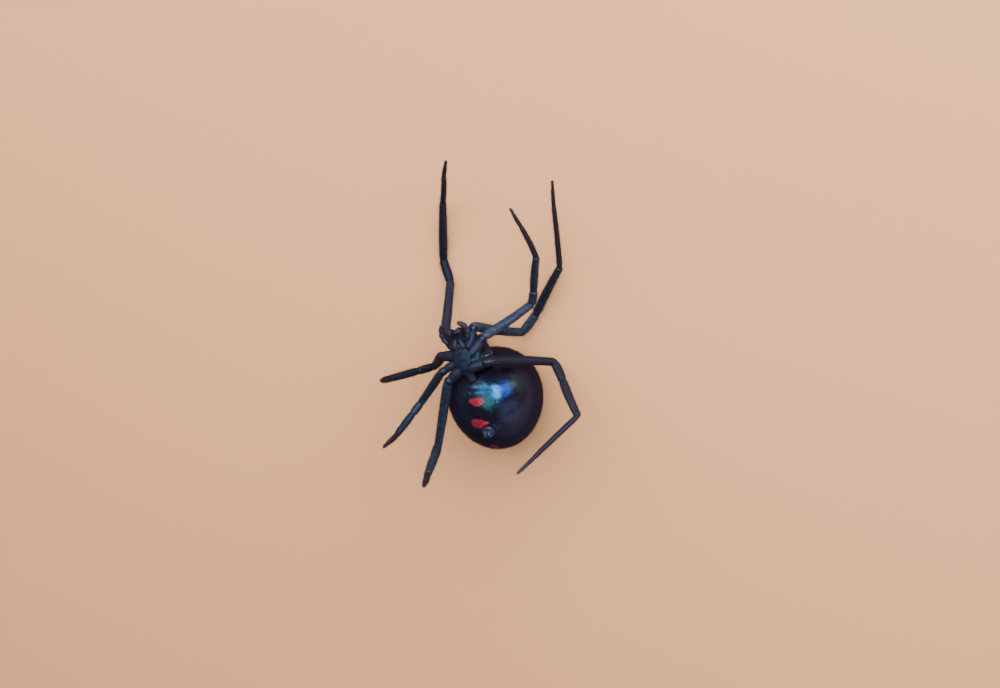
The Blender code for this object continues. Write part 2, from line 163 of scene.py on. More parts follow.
def makePiece(name, shells, material, replaced=()):
    # One mesh object from its shells, kept above the floor, riding on the only body.
    whole = joined(shells)
    masks = whole["masks"]
    points = whole["points"]
    points[:, 2] = np.maximum(points[:, 2], 0)
    mesh = bpy.data.meshes.new(name)
    mesh.from_pydata((points * mm).tolist(), [], whole["quads"].tolist() + whole["fans"].tolist())
    if "rootU" in masks:
        corners = np.empty(len(mesh.loops), int)
        mesh.loops.foreach_get("vertex_index", corners)
        flat = np.stack([masks.pop("rootU"), masks.pop("rootV")], axis=-1)[corners]
        mesh.uv_layers.new(name="OFBake").data.foreach_set("uv", flat.ravel().astype(np.float32))
    for mask, values in masks.items():
        mesh.attributes.new(mask, "FLOAT", "POINT").data.foreach_set("value", values.astype(np.float32))
    turner = bmesh.new()
    turner.from_mesh(mesh)
    bmesh.ops.recalc_face_normals(turner, faces=turner.faces)
    turner.to_mesh(mesh)
    turner.free()
    mesh.shade_smooth()
    mesh.set_sharp_from_angle(angle=math.radians(40))
    mesh.materials.append(material)
    piece = newObject(name, mesh)
    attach(piece, "root")
    if replaced:
        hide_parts(*replaced)


def hairShell(roots, normals, lies, lengths, widths, lifts, spread):
    # Each hair is a three-sided spike of two lengths: it leaves the skin at its lift and bends along its lie.
    count = len(roots)
    lengths, widths, lifts = (np.broadcast_to(v, count)[:, None] for v in (lengths, widths, lifts))
    lower = unit(np.cos(lifts) * lies + np.sin(lifts) * normals)
    upper = unit(np.cos(lifts * 0.45) * lies + np.sin(lifts * 0.45) * normals)
    side = unit(np.cross(lower, normals))
    ring = circles(side, np.cross(lower, side), 3)
    base = (roots - 0.03 * normals)[:, None] + widths[:, None] * ring
    bend = roots + 0.5 * lengths * lower
    middle = bend[:, None] + 0.75 * widths[:, None] * ring
    tip = (bend + 0.5 * lengths * upper)[:, None]
    points = np.concatenate([base, middle, tip], axis=1).reshape(-1, 3)
    start = 7 * np.arange(count)[:, None]
    quads = (start[:, :, None] + np.array([[0, 1, 4, 3], [1, 2, 5, 4], [2, 0, 3, 5]])).reshape(-1, 4)
    fans = (start[:, :, None] + np.array([[2, 1, 0], [3, 4, 6], [4, 5, 6], [5, 3, 6]])).reshape(-1, 3)
    corner = np.array([[0, 0], [1, 0], [0.5, 1], [0, 0.5], [1, 0.5], [0.5, 0.2], [0.5, 0.7]]) * 0.003
    flat = (spread[:, None] + corner).reshape(-1, 2)
    masks = {"rootU": flat[:, 0], "rootV": flat[:, 1]}
    return {"points": points, "quads": quads, "fans": fans, "masks": masks}


# Materials. A group puts out only masks, tones and heights.

def feed(tree, node, inputs):  # each input is linked to a socket or set to a value
    for name, value in inputs.items():
        if isinstance(value, bpy.types.NodeSocket):
            tree.links.new(value, node.inputs[name])
        else:
            node.inputs[name].default_value = value


def addNode(tree, kind, inputs=None, **settings):
    node = tree.nodes.new(kind)
    for name, value in settings.items():
        setattr(node, name, value)
    feed(tree, node, inputs or {})
    return node


def calculate(tree, operation, *values, clamp=False):
    node = addNode(tree, "ShaderNodeMath", dict(enumerate(values)), operation=operation, use_clamp=clamp)
    return node.outputs[0]


def remap(tree, value, low, high, toLow, toHigh, **settings):
    steps = {"Value": value, "From Min": low, "From Max": high, "To Min": toLow, "To Max": toHigh}
    return addNode(tree, "ShaderNodeMapRange", steps, **settings).outputs[0]


def blend(tree, factor, first, second):  # from the first colour to the second
    return addNode(tree, "ShaderNodeMix", {0: factor, 6: first, 7: second}, data_type="RGBA").outputs[2]


def maskValue(tree, name):
    mask = addNode(tree, "ShaderNodeAttribute", attribute_name=name, attribute_type="GEOMETRY")
    return mask.outputs["Fac"]


def ripeColour(tree, surface, finish, shift):  # black that turns brown by the mask ripe, unevenly
    uneven = calculate(tree, "MULTIPLY_ADD", surface.outputs["Tone"], 0.5, shift)
    ripe = calculate(tree, "ADD", maskValue(tree, "ripe"), uneven, clamp=True)
    return blend(tree, ripe, (*finish["black"], 1), (*finish["brown"], 1))


def newGroup(name, vectors, numbers, outputs):
    tree = bpy.data.node_groups.new(name, "ShaderNodeTree")
    sockets = ("INPUT", "Vector", vectors), ("INPUT", "Float", numbers), ("OUTPUT", "Float", outputs)
    for way, kind, labels in sockets:
        for label in labels:
            tree.interface.new_socket(label, in_out=way, socket_type="NodeSocket" + kind)
    return tree, tree.nodes.new("NodeGroupInput").outputs, tree.nodes.new("NodeGroupOutput")


def reliefGroup():
    # Two sizes of noise in the surface: fine grain between the hair sockets and slow unevenness.
    tree, given, out = newGroup("cuticleRelief", (), ("Grain", "Swell"), ("Height", "Tone"))
    place = addNode(tree, "ShaderNodeTexCoord").outputs["Object"]
    grain = addNode(tree, "ShaderNodeTexNoise", {"Vector": place, "Scale": given["Grain"], "Detail": 3.0})
    swell = addNode(tree, "ShaderNodeTexNoise", {"Vector": place, "Scale": given["Swell"], "Detail": 2.0})
    dots = addNode(tree, "ShaderNodeTexVoronoi", {"Vector": place, "Scale": given["Grain"]})
    sockets = calculate(tree, "LESS_THAN", dots.outputs["Distance"], 0.18)
    mixed = calculate(tree, "MULTIPLY_ADD", sockets, 0.35, grain.outputs["Fac"])
    height = calculate(tree, "MULTIPLY_ADD", swell.outputs["Fac"], 3.0, mixed)
    feed(tree, out, {"Height": height, "Tone": swell.outputs["Fac"]})
    return tree


def markGroup():
    # A soft-edged patch: a rounded lozenge, wider ahead or behind, and taller at one side.
    numbers = ("Half Width", "Half Height", "Half Depth", "Widen Ahead", "Widen Left", "Blur")
    tree, given, out = newGroup("colourMark", ("Place", "Centre"), numbers, ("Mask",))
    ends = {0: given["Place"], 1: given["Centre"]}
    shift = addNode(tree, "ShaderNodeVectorMath", ends, operation="SUBTRACT").outputs[0]
    parts = addNode(tree, "ShaderNodeSeparateXYZ", {0: shift}).outputs
    aside = calculate(tree, "DIVIDE", parts["X"], given["Half Width"])
    ahead = calculate(tree, "DIVIDE", parts["Y"], given["Half Height"])
    deep = calculate(tree, "DIVIDE", parts["Z"], given["Half Depth"])
    wide = calculate(tree, "MULTIPLY_ADD", ahead, given["Widen Ahead"], 1.0)
    tall = calculate(tree, "MULTIPLY_ADD", aside, given["Widen Left"], 1.0)
    u = calculate(tree, "DIVIDE", aside, calculate(tree, "MAXIMUM", wide, 0.15))
    v = calculate(tree, "DIVIDE", ahead, calculate(tree, "MAXIMUM", tall, 0.15))
    total = 0.0
    for part in (u, v, deep):
        raised = calculate(tree, "POWER", calculate(tree, "ABSOLUTE", part), 2.4)
        total = calculate(tree, "ADD", total, raised)
    low = calculate(tree, "SUBTRACT", 1.0, given["Blur"])
    high = calculate(tree, "ADD", 1.0, given["Blur"])
    feed(tree, out, {"Mask": remap(tree, total, low, high, 1.0, 0.0, interpolation_type="SMOOTHSTEP")})
    return tree


relief = reliefGroup()
colourMark = markGroup()


def newMaterial(name):
    material = bpy.data.materials.new(name)
    material.use_nodes = True
    return material, material.node_tree, material.node_tree.nodes["Principled BSDF"]


def cuticle(name, finish, reliefDepth, grain, swell):
    # Polished cuticle under a thin clear layer. Seen edge on, its fine down hides the polish,
    # so there it turns matt, loses the clear layer and takes its edge tint.
    material, tree, shader = newMaterial(name)
    surface = addNode(tree, "ShaderNodeGroup", {"Grain": grain, "Swell": swell}, node_tree=relief)
    smoothest, roughest, mattest = finish["roughness"] - 0.05, finish["roughness"] + 0.07, 0.95
    rough = remap(tree, surface.outputs["Tone"], 0.3, 0.7, smoothest, roughest)
    edge = addNode(tree, "ShaderNodeLayerWeight", {"Blend": 0.5}).outputs["Facing"]
    matt = remap(tree, edge, 0.12, 0.5, 0.0, 1.0, interpolation_type="SMOOTHSTEP")
    rest = calculate(tree, "SUBTRACT", mattest, rough)
    heights = {"Height": surface.outputs["Height"], "Distance": reliefDepth, "Strength": 0.7}
    tint = (*finish.get("tint", (1.0, 1.0, 1.0)), 1)
    feed(tree, shader, {
        "Base Color": (*finish["black"], 1),
        "IOR": 1.45,
        "Specular IOR Level": finish["specular"],
        "Specular Tint": tint,
        "Roughness": calculate(tree, "MULTIPLY_ADD", matt, rest, rough),
        "Coat Weight": calculate(tree, "MULTIPLY_ADD", matt, -finish["coat"], finish["coat"]),
        "Coat Roughness": finish["coatRoughness"],
        "Normal": addNode(tree, "ShaderNodeBump", heights).outputs[0],
    })
    if "edgeTint" in finish:
        feed(tree, shader, {"Specular Tint": blend(tree, matt, tint, (*finish["edgeTint"], 1))})
    return material, tree, shader, surface


# Abdomen

abdomen = {
    "length": 8.75, "width": 8.0, "height": 8.16, "pressed": 0.13, "taper": 0.07,
    "columns": 192, "rows": 170,
    "furrow": {"y": 2.02, "bow": 0.09, "depth": 0.013, "width": 0.15, "reach": 1.7},
    "plate": {"y": 2.33, "rise": 0.08, "across": 0.46, "ahead": 0.3, "slit": 0.03},
    "lungCovers": {"x": 1.45, "y": 2.55, "rise": 0.04, "across": 0.75, "ahead": 0.42},
    "spinneretMound": {"x": 0.6, "y": -1.52, "rise": 0.1, "radius": 0.85, "fold": 0.03},
    "backPits": ((0.62, 1.75), (0.78, 0.35), (0.74, -1.0)), "pitDepth": 0.05, "pitWidth": 0.13,
    # Marks: y, angle round the egg, half width, height and depth, widening ahead and to the left, and blur
    "frontMark": (1.10, 87.5, 0.64, 0.34, 0.9, 0.30, 0.1, 0.26),
    "rearMark": (-0.78, 89, 0.74, 0.40, 0.9, -0.15, -0.5, 0.22),
    "tailMark": (-3.62, 91, 0.38, 0.4, 0.62, 0.0, 0.0, 0.25),
    "backSpots": ((-3.9, 0.36), (-3.1, 0.4), (-2.0, 0.42), (-0.7, 0.4), (0.8, 0.34), (2.1, 0.28)),
    "backSpotShape": (0.6, 0.2, 0.0, 0.2),  # from the half depth on
    "hairs": 20400, "hairLength": 0.19, "hairWidth": 0.0065, "seed": 7,
    "black": (0.0060, 0.0036, 0.0090), "brown": (0.012, 0.005, 0.010), "red": (0.27, 0.010, 0.032),
    "roughness": 0.165, "specular": 0.56, "tint": (0.3, 0.72, 1.0), "edgeTint": (0.22, 0.14, 0.30),
    "coat": 0.06, "coatRoughness": 0.1,
}


def eggPoint(t, turn):
    # Egg: x and z follow the sine of t, swollen ahead of the middle, and y follows the cosine.
    swell = np.sin(t) * (1 + abdomen["taper"] * np.cos(t))
    x = abdomen["width"] / 2 * swell * np.cos(turn)
    y = abdomen["length"] / 2 * np.cos(t)
    z = abdomen["height"] / 2 * (1 + swell * np.sin(turn)) - abdomen["pressed"]
    return np.stack([x, y, z], axis=-1)


def eggNormal(t, turn):
    # Outwards, square to the egg's two slopes, which are taken over a small step.
    d = 0.002
    aroundStep = eggPoint(t, turn + d) - eggPoint(t, turn - d)
    alongStep = eggPoint(t + d, turn) - eggPoint(t - d, turn)
    return unit(np.cross(aroundStep, alongStep))


def eggRelief(p):
    # Height over the egg: furrow, plate and lung covers in front, a mound under the spinnerets,
    # pits on the back, and a slow unevenness all over.
    x, y, z = p[..., 0], p[..., 1], p[..., 2]
    belly = np.clip((z - 3.0) / 2.0, 0, 1)
    back = np.clip((5.0 - z) / 2.0, 0, 1)
    furrow, plate, mound = abdomen["furrow"], abdomen["plate"], abdomen["spinneretMound"]
    ends = np.clip(1.2 - (np.abs(x) / furrow["reach"]) ** 4, 0, 1)
    high = -furrow["depth"] * bump(y, furrow["y"] - furrow["bow"] * x ** 2, furrow["width"]) * ends
    high = high + plate["rise"] * bump(x, 0, plate["across"]) * bump(y, plate["y"], plate["ahead"])
    high = high - plate["slit"] * bump(x, 0, 0.17) * bump(y, plate["y"] - 0.02, 0.07)
    lung = abdomen["lungCovers"]
    lungLine = lung["y"] - 0.1 * x ** 2
    high = high + lung["rise"] * bump(np.abs(x), lung["x"], lung["across"]) * bump(y, lungLine, lung["ahead"])
    far = np.hypot(x - mound["x"], y - mound["y"])
    high = high + mound["rise"] / (1 + (far / mound["radius"]) ** 6)
    high = high - mound["fold"] * (bump(far, 0.84, 0.07) + 0.4 * bump(far, 1.12, 0.09))
    wide = abdomen["pitWidth"]
    pits = sum(bump(np.abs(x), aside, wide) * bump(y, ahead, wide) for aside, ahead in abdomen["backPits"])
    slow = 0.012 * np.sin(1.7 * x + 0.6) * np.sin(1.3 * y + 1.1) * np.sin(1.5 * z)
    return high * belly - abdomen["pitDepth"] * pits * back + slow


def abdomenSkin(t, turn):
    base = eggPoint(t, turn)
    return base + eggRelief(base)[..., None] * eggNormal(t, turn)


def abdomenMaterial():
    # Black with a faint brown cast, red marks on the belly, a red spot behind and a row of them on the back.
    material, tree, shader, surface = cuticle("abdomenCuticle", abdomen, 0.012 * mm, 15000.0, 2800.0)
    place = addNode(tree, "ShaderNodeTexCoord").outputs["Object"]
    wander = addNode(tree, "ShaderNodeTexNoise", {"Vector": place, "Scale": 1700.0, "Detail": 2.0})
    moved = wander.outputs["Color"]
    steps = ("SUBTRACT", {1: (0.5, 0.5, 0.5)}), ("SCALE", {"Scale": 0.4 * mm}), ("ADD", {1: place})
    for operation, given in steps:
        moved = addNode(tree, "ShaderNodeVectorMath", {0: moved, **given}, operation=operation).outputs[0]
    mask = 0.0
    for mark in redMarks():
        spot = addNode(tree, "ShaderNodeGroup", {"Place": moved, **mark}, node_tree=colourMark)
        mask = calculate(tree, "MAXIMUM", mask, spot.outputs["Mask"])
    tone = remap(tree, surface.outputs["Tone"], 0.45, 0.75, 0.0, 0.6)
    dark = blend(tree, tone, (*abdomen["black"], 1), (*abdomen["brown"], 1))
    feed(tree, shader, {"Base Color": blend(tree, mask, dark, (*abdomen["red"], 1))})
    return material


def eggPlace(y, turn):  # the egg at a distance ahead of its middle and an angle round it
    return eggPoint(math.acos(y / (abdomen["length"] / 2)), math.radians(turn))


def redMark(y, turn, halfWidth, halfHeight, halfDepth, widenAhead, widenLeft, blur):
    return {
        "Centre": eggPlace(y, turn) * mm,
        "Half Width": halfWidth * mm, "Half Height": halfHeight * mm, "Half Depth": halfDepth * mm,
        "Widen Ahead": widenAhead, "Widen Left": widenLeft, "Blur": blur,
    }


def redMarks():
    # The two halves of the broken hourglass, the spot behind the spinnerets and the row down the back.
    belly = [redMark(*abdomen[part]) for part in ("frontMark", "rearMark", "tailMark")]
    back = [redMark(y, -90, size, size, *abdomen["backSpotShape"]) for y, size in abdomen["backSpots"]]
    return belly + back


def makeAbdomen():
    t = np.linspace(0, math.pi, abdomen["rows"] + 2)[1:-1]
    rings = abdomenSkin(*np.meshgrid(t, around(abdomen["columns"]), indexing="ij"))
    skin = closedGrid(rings, *eggPoint(np.array([0, math.pi]), 0.0))
    makePiece("abdomenSkin", [skin], abdomenMaterial(), ["abdomen"])
    rng = np.random.default_rng(abdomen["seed"])
    count = abdomen["hairs"]
    t = np.arccos(rng.uniform(-0.97, 0.97, count))
    turn = rng.uniform(0, 2 * math.pi, count)
    roots, normals = abdomenSkin(t, turn), eggNormal(t, turn)
    mound = abdomen["spinneretMound"]
    fromMound = np.hypot(roots[:, 0] - mound["x"], roots[:, 1] - mound["y"])
    clear = (roots[:, 2] > 0.45) & (fromMound > 0.8 * (roots[:, 2] > 5))  # not on the floor or the spinnerets
    roots, normals, t, turn = roots[clear], normals[clear], t[clear], turn[clear]
    lies = across(np.array([0.0, -1.0, 0.0]) + rng.normal(0, 0.25, (len(t), 3)), normals)
    lengths = abdomen["hairLength"] * rng.uniform(0.6, 1.25, len(t))
    lifts = rng.uniform(0.45, 0.95, len(t))
    spread = mapPlace(turn / (2 * math.pi), t / math.pi)
    hairs = hairShell(roots, normals, lies, lengths, abdomen["hairWidth"], lifts, spread)
    makePiece("abdomenHairs", [hairs], hairMaterial)


# Limbs: bars from joint to joint, each with a ball in its first joint and a rim round the next ball

segmentShapes = {
    "trochanter": dict(root=1.08, tip=1.12, swell=0.08, lean=1.0, flare=0.02, bow=0.0),
    "femur": dict(root=0.98, tip=0.86, swell=0.10, lean=0.7, flare=0.04, bow=0.022),
    "patella": dict(root=0.88, tip=0.90, swell=0.10, lean=0.9, flare=0.03, bow=0.03),
    "tibia": dict(root=0.90, tip=0.80, swell=0.12, lean=0.8, flare=0.04, bow=-0.012),
    "metatarsus": dict(root=0.84, tip=0.66, swell=0.05, lean=0.8, flare=0.05, bow=0.014),
    "tarsus": dict(root=0.70, tip=0.36, swell=0.08, lean=0.8, flare=0.0, bow=-0.015),
}


# A bar carries its share of painted sheen, a lightened base colour in place of reflected sky, and how much
# duller it is
def barOf(start, end, dorsal, radius, shape, ripe=(0.0, 0.0), bloom=0.0, dull=0.0):
    axis = unit(end - start)
    up = across(dorsal, axis)
    return dict(
        start=start, axis=axis, up=up, side=np.cross(axis, up), length=float(np.linalg.norm(end - start)),
        radius=radius, shape=shape, ripe=ripe, bloom=bloom, dull=dull,
    )


def barRadius(bar, s):
    # Straight taper, a long swelling, a narrow neck at the root and a flare at the far end.
    shape = bar["shape"]
    s = np.clip(s, 0, 1)
    radius = shape["root"] + (shape["tip"] - shape["root"]) * s
    radius = radius + shape["swell"] * np.sin(math.pi * s ** shape["lean"])
    neck, flare = bump(s * bar["length"], 0, 0.2), bump((1 - s) * bar["length"], 0, 0.3)
    return bar["radius"] * (radius - 0.10 * neck + shape["flare"] * flare)


def barCentre(bar, s):
    bow = bar["shape"]["bow"] * bar["length"] * np.sin(math.pi * np.clip(s, 0, 1))
    return bar["start"] + (s * bar["length"])[..., None] * bar["axis"] + bow[..., None] * bar["up"]


def barShell(bar, columns=26, blunt=True):
    # Rings of the ball, then of the bar, then of a lip that curls in over the next joint.
    ballRadius = 0.97 * barRadius(bar, np.array(0.0))
    phi = np.linspace(0.1, 0.46, 7) * math.pi
    rows = int(12 + 9 * bar["length"])
    s = np.linspace(0.02, 1 - 0.10 * bar["radius"] / bar["length"], rows)
    curl = np.linspace(0.25, 1.0, 5) * math.pi / 2
    lipRadius = barRadius(bar, s[-1])
    lip = (0.32 if blunt else 0.9) * lipRadius
    lipAlong, lipRadii = lip * np.sin(curl) / bar["length"], lipRadius * (0.12 + 0.88 * np.cos(curl))
    along = np.concatenate([-ballRadius * np.cos(phi) / bar["length"], s, s[-1] + lipAlong])
    radii = np.concatenate([ballRadius * np.sin(phi), barRadius(bar, s), lipRadii])
    centres = barCentre(bar, along)
    rings = centres[:, None] + radii[:, None, None] * circles(bar["side"], bar["up"], columns)
    joint = np.clip(1 - (along * bar["length"] + 0.3 * ballRadius) / (0.9 * ballRadius), 0, 1)
    ripe = bar["ripe"][0] + (bar["ripe"][1] - bar["ripe"][0]) * np.clip(along, 0, 1)
    # The painted sheen mask lightens the bar's base colour in place of a reflection
    masks = dict(joint=joint, ripe=ripe, bloom=bar["bloom"], dull=bar["dull"])
    return closedGrid(rings, centres[0], centres[-1], **masks)


def barHairs(bar, rng, density, length, width, lift, band):
    # Roots scattered evenly over the bar, lying towards its far end; the band is its strip of the bake map.
    count = int(density * bar["length"] * 2 * math.pi * bar["radius"] * 0.85)
    s, turn = rng.uniform(0.05, 0.97, count), rng.uniform(0, 2 * math.pi, count)
    normals = np.cos(turn)[:, None] * bar["side"] + np.sin(turn)[:, None] * bar["up"]
    roots = barCentre(bar, s) + barRadius(bar, s)[:, None] * normals
    lies = across(unit(bar["axis"] + rng.normal(0, 0.12, (count, 3))), normals)
    lengths = length * rng.uniform(0.55, 1.3, count)
    lifts = np.clip(lift + rng.normal(0, 0.16, count), 0.15, 1.35)
    spread = mapPlace(turn / (2 * math.pi), s, *band)
    climb = np.cos(lifts) * lies[:, 2] + np.sin(lifts) * normals[:, 2]
    keep = roots[:, 2] + 0.8 * lengths * climb > 0.02  # none through the floor
    return hairShell(roots[keep], normals[keep], lies[keep], lengths[keep], width, lifts[keep], spread[keep])


def claws(bar, size):
    # Two curved claws side by side and a small hooked one between and below them.
    tip = barCentre(bar, np.array(1.0))
    shells = []
    for sideways, drop, scale in ((-0.32, 0.35, 1.0), (0.32, 0.35, 1.0), (0.0, 0.8, 0.6)):
        out = unit(bar["axis"] + sideways * bar["side"])
        s = np.linspace(0, 1, 5)[:, None]
        path = tip - 0.06 * out + size * scale * (s * out - drop * s ** 2 * bar["up"])
        radii = size * 0.13 * scale * np.array([1.0, 0.9, 0.7, 0.45, 0.15])
        shells.append(taperedTube(path, radii, np.cross(out, bar["up"]), 8, 10, False, ripe=1.0))
    return shells


# Cephalothorax

trunk = {
    "sternumCentre": (-0.42, 4.9, 7.85), "yaw": 6.0, "noseDown": 12.0,
    "length": 3.55, "width": 3.0, "height": 1.75, "behind": 1.3, "margin": 0.62, "belly": 0.3,
    "widest": 0.42, "headWidth": 1.5,
    "pit": {"depth": 0.12, "at": 0.36, "across": 0.1, "along": 0.05},
    "sternumLength": 1.9, "sternumWidth": 1.7, "sternumRaised": 0.1,
    "eyeRadius": 0.13, "eyeRows": ((0.16, 0.42, 1.2), (0.2, 0.54, 1.5)),
    "maxilla": ((0.36, 0.75, -0.25), (0.36, 1.15, -0.07), (0.22, 1.6, -0.08), (0.12, 1.75, -0.14)),
    "maxillaRadii": (0.2, 0.26, 0.21, 0.1), "lip": (0.27, 0.22, 0.12),
    "jaw": ((0.44, 2.3, -0.25), (0.44, 2.5, 0.85), (0.16, 2.2, 0.7)),  # root, aim and fang tip
    "jawRadii": (0.28, 0.34, 0.34, 0.26, 0.16), "fangRadii": (0.095, 0.065, 0.012),
    "waistRadius": 0.40, "waistFoot": (2.95, 93.5),  # y and angle round the abdomen
    "black": (0.008, 0.008, 0.013), "brown": (0.028, 0.013, 0.013),
    "roughness": 0.54, "specular": 0.24, "tint": (0.67, 0.77, 1.0), "coat": 0.04, "coatRoughness": 0.22,
    # Hairs: how dense, how long and how wide
    "backHairs": (40, 0.16, 0.006), "sternumHairs": (80, 0.2, 0.009), "coxaHairs": (40, 0.2, 0.007),
    "seed": 60,
}


def bodyAxes():  # to the trunk's left, forward, and out of its belly side
    left = direction(trunk["yaw"], 0)
    forward = direction(90 + trunk["yaw"], -trunk["noseDown"])
    return np.array([left, forward, np.cross(left, forward)])


trunkAxes = bodyAxes()


def inBody(places, side=1):
    # Places given sideways, ahead and out from the middle of the sternum's face, mirrored for side -1.
    return np.array(trunk["sternumCentre"]) + (np.array(places) * [side, 1, 1]) @ trunkAxes


def carapaceHalfWidth(s):
    # Half an ellipse behind, easing from its widest to the narrower head with a rounded front.
    past = s - trunk["widest"]
    rear = np.where(past < 0, np.sqrt(np.clip(1 - (past / 0.46) ** 2, 0, 1)), 1.0)
    fade = 0.5 - 0.5 * np.cos(math.pi * np.clip(past / 0.4, 0, 1))
    front = np.sqrt(np.clip(1 - (np.clip(s - 0.86, 0, 1) / 0.17) ** 2, 0, 1))
    return trunk["width"] / 2 * rear * (1 + (trunk["headWidth"] / trunk["width"] - 1) * fade) * front


def carapaceShell(columns=72, rows=70):
    # Dome on the back with a pit and shallow grooves that run out from it, a narrow rim,
    # and a nearly flat underside.
    s = 0.5 - 0.5 * np.cos(math.pi * (np.arange(rows) + 0.6) / (rows + 0.2))
    s, turn = np.meshgrid(s, around(columns), indexing="ij")
    half = carapaceHalfWidth(s)
    grow = half / (trunk["width"] / 2)
    rise = np.minimum(1.0, 0.25 + 0.75 * (s / 0.4) ** 0.8)
    back = (trunk["height"] - trunk["margin"]) * rise * np.minimum(1.0, 1.3 * grow ** 0.6)
    belly = trunk["belly"] * np.minimum(1.0, 1.2 * grow ** 0.5)
    belly = belly * (1 - 0.85 / (1 + np.exp(-(s - 0.78) / 0.02)))
    up = np.sin(turn)
    sideways = half * np.sign(np.cos(turn)) * np.abs(np.cos(turn)) ** 0.85
    out = np.where(up > 0, belly * np.abs(up) ** 0.6, -back * np.abs(up) ** 0.95)
    ahead = -trunk["behind"] + s * trunk["length"]
    onBack = np.clip(-up, 0, 1)
    pit = trunk["pit"]
    hollow = pit["depth"] * bump(sideways, 0, pit["across"]) * bump(s, pit["at"], pit["along"])
    fromPit = ahead - 0.05
    rays = 0.02 * np.cos(5 * np.arctan2(sideways, fromPit)) * bump(np.hypot(sideways, fromPit), 0.7, 0.35)
    past = s - trunk["widest"]
    neck = 0.05 * bump(np.abs(sideways), 0.25 + 1.1 * past, 0.09) * np.clip(past / 0.1, 0, 1)
    out = out + onBack * (hollow + rays + neck)
    rings = inBody(np.stack([sideways, ahead, out - trunk["margin"]], axis=-1))
    ends = inBody([(0, y, -trunk["margin"]) for y in (-trunk["behind"], trunk["length"] - trunk["behind"])])
    return closedGrid(rings, *ends)


def sternumShell(columns=48, rows=14):
    # Heart-shaped plate, domed, with a raised rim notched where each coxa meets it.
    turn = around(columns)
    notch = 1 - 0.05 * np.cos(8 * turn) * np.abs(np.sin(turn))
    ahead = trunk["sternumLength"] / 2 * np.cos(turn) * notch
    sideways = trunk["sternumWidth"] / 2 * np.sin(turn) * (1 + 0.25 * np.cos(turn)) * notch
    inward = np.linspace(0.98, 0.04, rows - 3)
    share = np.append([0.9, 1.0, 1.03], inward)[:, None]
    height = np.append([-0.55, -0.3, -0.02], trunk["sternumRaised"] * (1.1 - inward ** 2))
    height = height[:, None] - 0.02 * bump(share, 0.86, 0.06)
    rings = inBody(np.stack([sideways * share, ahead * share, height + 0 * turn], axis=-1))
    ends = inBody([(0, 0, -0.55), (0, 0, 1.1 * trunk["sternumRaised"])])
    return closedGrid(rings, *ends)


def mouthShells():
    # Lip plate in the middle and the two maxillae that lean together over it.
    shells = [ellipsoid(inBody((0, 1.12, -0.02)), trunkAxes, trunk["lip"], 24, ripe=0.2)]
    for side in (-1, 1):
        path = inBody(trunk["maxilla"], side)
        shells.append(taperedTube(path, trunk["maxillaRadii"], trunkAxes[2], 20, 24, ripe=0.25))
    return shells


def waistShell():
    # The narrow stalk, ringed by two folds, from inside the trunk to inside the abdomen.
    root = inBody((0, 0.35 - trunk["behind"], -0.56))
    foot = eggPlace(*trunk["waistFoot"])
    s = np.linspace(0, 1.12, 26)
    narrow = 0.05 * np.sin(math.pi * np.clip(s, 0, 1))
    radii = trunk["waistRadius"] + 0.014 * np.cos(6 * math.pi * s) - narrow
    centres = root + s[:, None] * (foot - root)
    rings = tubeRings(centres, radii, trunkAxes[0], 28)
    return closedGrid(rings, centres[0], centres[-1], ripe=0.3)


def bodyMaterial(name, finish):
    material, tree, shader, surface = cuticle(name, finish, 0.009 * mm, 14000.0, 2200.0)
    feed(tree, shader, {"Base Color": ripeColour(tree, surface, finish, -0.2)})
    return material


def shellHairs(shell, rng, density, length, width, ahead, band):
    # Roots scattered over the quads in proportion to their areas, with hairs that point away from the
    # shell's middle and lie towards the given direction.
    a, b, c, d = (shell["points"][shell["quads"][:, i]] for i in range(4))
    normals = np.cross(c - a, d - b) / 2
    area = np.linalg.norm(normals, axis=1)
    normals = normals / np.maximum(area, 1e-9)[:, None]
    normals = normals * np.sign(np.sum(normals * (a - shell["points"].mean(axis=0)), axis=1))[:, None]
    count = int(density * area.sum())
    pick = rng.choice(len(area), count, p=area / area.sum())
    u, v = rng.uniform(0, 1, (count, 1)), rng.uniform(0, 1, (count, 1))
    roots = (1 - v) * ((1 - u) * a[pick] + u * b[pick]) + v * ((1 - u) * d[pick] + u * c[pick])
    lies = across(np.asarray(ahead) + rng.normal(0, 0.3, (count, 3)), normals[pick])
    lengths = length * rng.uniform(0.55, 1.3, count)
    columns = shell["columns"]
    spread = mapPlace((pick % columns) / columns, (pick // columns) * columns / len(area), *band)
    return hairShell(roots, normals[pick], lies, lengths, width, rng.uniform(0.35, 0.95, count), spread)


def makeTrunk(material):
    shells = [carapaceShell(), sternumShell(), waistShell(), *mouthShells()]
    rng = np.random.default_rng(trunk["seed"])
    hairs = [
        shellHairs(shells[0], rng, *trunk["backHairs"], trunkAxes[1], (0.02, 0.3)),
        shellHairs(shells[1], rng, *trunk["sternumHairs"], -trunkAxes[1], (0.32, 0.4)),
    ]
    for i, name in enumerate(legs["pose"]):
        root, outer = coxaEnds(name)[:2]
        shells.append(coxaShell(name))
        band = (0.42 + 0.06 * i, 0.47 + 0.06 * i)
        hairs.append(shellHairs(shells[-1], rng, *trunk["coxaHairs"], outer - root, band))
    makePiece("trunkHairs", hairs, hairMaterial)
    makePiece("trunkSkin", shells, material, ["cephalothorax"])
    front = trunk["length"] - trunk["behind"]
    eyes = []
    for row, (near, far, height) in enumerate(trunk["eyeRows"]):
        for sideways in (-far, -near, near, far):
            bow = 0.5 * sideways ** 2
            centre = inBody((sideways, front - 0.06 - 0.3 * row - bow, 0.12 * bow - height))
            eyes.append(ellipsoid(centre, trunkAxes, [trunk["eyeRadius"]] * 3))
    makePiece("eyes", eyes, eyeMaterial)


